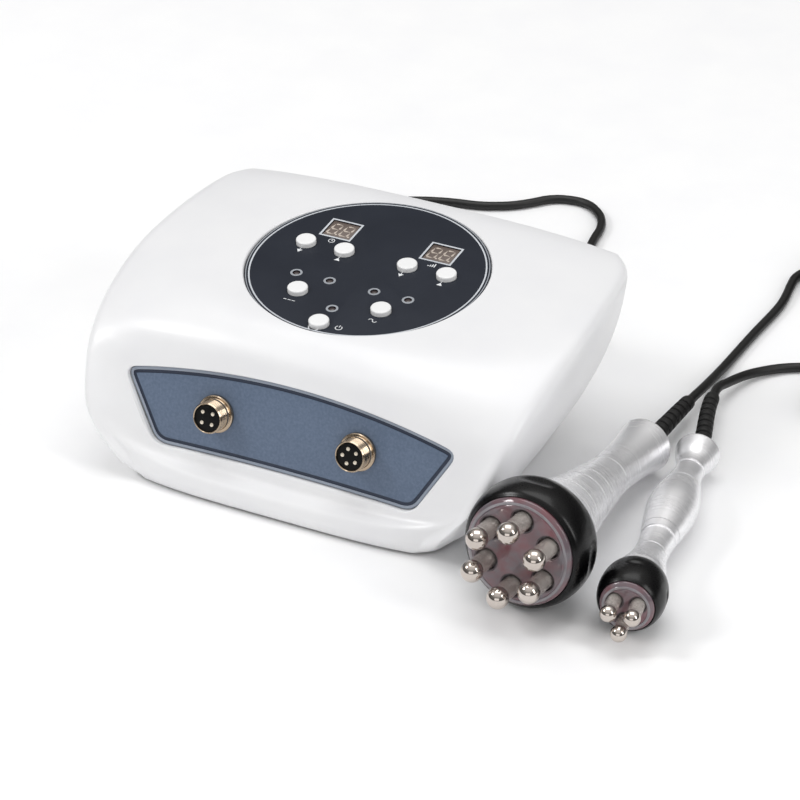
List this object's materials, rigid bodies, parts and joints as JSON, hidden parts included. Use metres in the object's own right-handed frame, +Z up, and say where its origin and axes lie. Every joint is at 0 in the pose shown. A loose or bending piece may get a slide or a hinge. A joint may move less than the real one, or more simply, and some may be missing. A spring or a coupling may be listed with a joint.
{
  "type": "radio frequency beauty machine",
  "caption": "Desktop radio frequency skin care console with a round control plate, two round sockets, two ball-electrode handpieces on coiled cords, and a mains cord.",
  "frame": {"origin": "on the standing surface, below the middle of the console and its two handpieces taken together", "axes": "+Z up, -Y towards the operator, +X from the console towards its handpieces"},
  "size_m": [0.398, 0.4326, 0.0952],
  "materials": {
    "casing_white": "semi-gloss",
    "plate_graphite": "satin",
    "panel_blue_grey": "fine grain",
    "button_white": "gloss",
    "display_window": "gloss",
    "board_green": "satin",
    "nickel": "polished",
    "black_plastic": "satin",
    "black_rubber": "matte",
    "collar_black": "soft gloss",
    "lens_smoky": "translucent",
    "aluminium": "satin turned",
    "electrode_chrome": "polished",
    "transformer_steel": "varnished"
  },
  "bodies": {
    "console": {"casing": "casing_white", "base_plate": "casing_white", "foot_1": "black_rubber", "foot_2": "black_rubber", "foot_3": "black_rubber", "foot_4": "black_rubber", "control_plate": "plate_graphite", "time_display": "display_window", "intensity_display": "display_window", "control_board": "board_green", "jack_panel": "panel_blue_grey", "jack_four_pin_shell": "nickel", "jack_four_pin_insert": "black_plastic", "jack_five_pin_shell": "nickel", "jack_five_pin_insert": "black_plastic", "rocker_bezel": "black_plastic", "fuse_holder": "black_plastic", "cord_gland": "black_rubber", "transformer": "transformer_steel", "rf_board": "board_green", "mains_cord": "black_rubber", "mains_coil": "black_rubber", "mains_plug": "black_rubber"},
    "time_down": {"time_down_button": "button_white"},
    "time_up": {"time_up_button": "button_white"},
    "intensity_down": {"intensity_down_button": "button_white"},
    "intensity_up": {"intensity_up_button": "button_white"},
    "function": {"function_button": "button_white"},
    "mode": {"mode_button": "button_white"},
    "on_off": {"on_off_button": "button_white"},
    "rocker": {"power_rocker": "black_plastic"},
    "large_handpiece": {"large_lens": "lens_smoky", "large_collar": "collar_black", "large_neck": "aluminium", "large_grip": "aluminium", "large_lamp_board": "board_green", "large_electrode_1": "electrode_chrome", "large_electrode_2": "electrode_chrome", "large_electrode_3": "electrode_chrome", "large_electrode_4": "electrode_chrome", "large_electrode_5": "electrode_chrome", "large_electrode_6": "electrode_chrome", "large_boot": "black_rubber", "large_cord": "black_rubber", "large_coil": "black_rubber", "large_plug": "black_plastic"},
    "large_ring": {"large_plug_ring": "nickel"},
    "small_handpiece": {"small_lens": "lens_smoky", "small_collar": "collar_black", "small_neck": "aluminium", "small_grip": "aluminium", "small_lamp_board": "board_green", "small_electrode_1": "electrode_chrome", "small_electrode_2": "electrode_chrome", "small_electrode_3": "electrode_chrome", "small_boot": "black_rubber", "small_cord": "black_rubber", "small_coil": "black_rubber", "small_plug": "black_plastic"},
    "small_ring": {"small_plug_ring": "nickel"}
  },
  "joints": [
    {"name": "time_down_press", "type": "slide", "parent": "console", "child": "time_down", "axis": [0, 0.0837, -0.9965], "range_m": [0, 0.0012], "stiffness_N_per_m": 900},
    {"name": "time_up_press", "type": "slide", "parent": "console", "child": "time_up", "axis": [0, 0.0837, -0.9965], "range_m": [0, 0.0012], "stiffness_N_per_m": 900},
    {"name": "intensity_down_press", "type": "slide", "parent": "console", "child": "intensity_down", "axis": [0, 0.0837, -0.9965], "range_m": [0, 0.0012], "stiffness_N_per_m": 900},
    {"name": "intensity_up_press", "type": "slide", "parent": "console", "child": "intensity_up", "axis": [0, 0.0837, -0.9965], "range_m": [0, 0.0012], "stiffness_N_per_m": 900},
    {"name": "function_press", "type": "slide", "parent": "console", "child": "function", "axis": [0, 0.0837, -0.9965], "range_m": [0, 0.0012], "stiffness_N_per_m": 900},
    {"name": "mode_press", "type": "slide", "parent": "console", "child": "mode", "axis": [0, 0.0837, -0.9965], "range_m": [0, 0.0012], "stiffness_N_per_m": 900},
    {"name": "on_off_press", "type": "slide", "parent": "console", "child": "on_off", "axis": [0, 0.0837, -0.9965], "range_m": [0, 0.0012], "stiffness_N_per_m": 900},
    {"name": "power_rocker_tilt", "type": "hinge", "parent": "console", "child": "rocker", "pos_m": [-0.0302, 0.08623, 0.04018], "axis": [1, 0, 0], "range_deg": [0, 18]},
    {"name": "large_handpiece_lift", "type": "slide", "parent": "console", "child": "large_handpiece", "axis": [0.012, -0.05, 0.9987], "range_m": [0, 0.12]},
    {"name": "large_ring_turn", "type": "hinge", "parent": "large_handpiece", "child": "large_ring", "pos_m": [0.19803, 0.21127, 0.00955], "axis": [0.1813, -0.9834, 0], "continuous": true},
    {"name": "small_handpiece_lift", "type": "slide", "parent": "console", "child": "small_handpiece", "axis": [0, 0, 1], "range_m": [0, 0.12]},
    {"name": "small_ring_turn", "type": "hinge", "parent": "small_handpiece", "child": "small_ring", "pos_m": [0.21824, 0.07311, 0.00955], "axis": [-0.1668, -0.986, 0], "continuous": true}
  ]
}
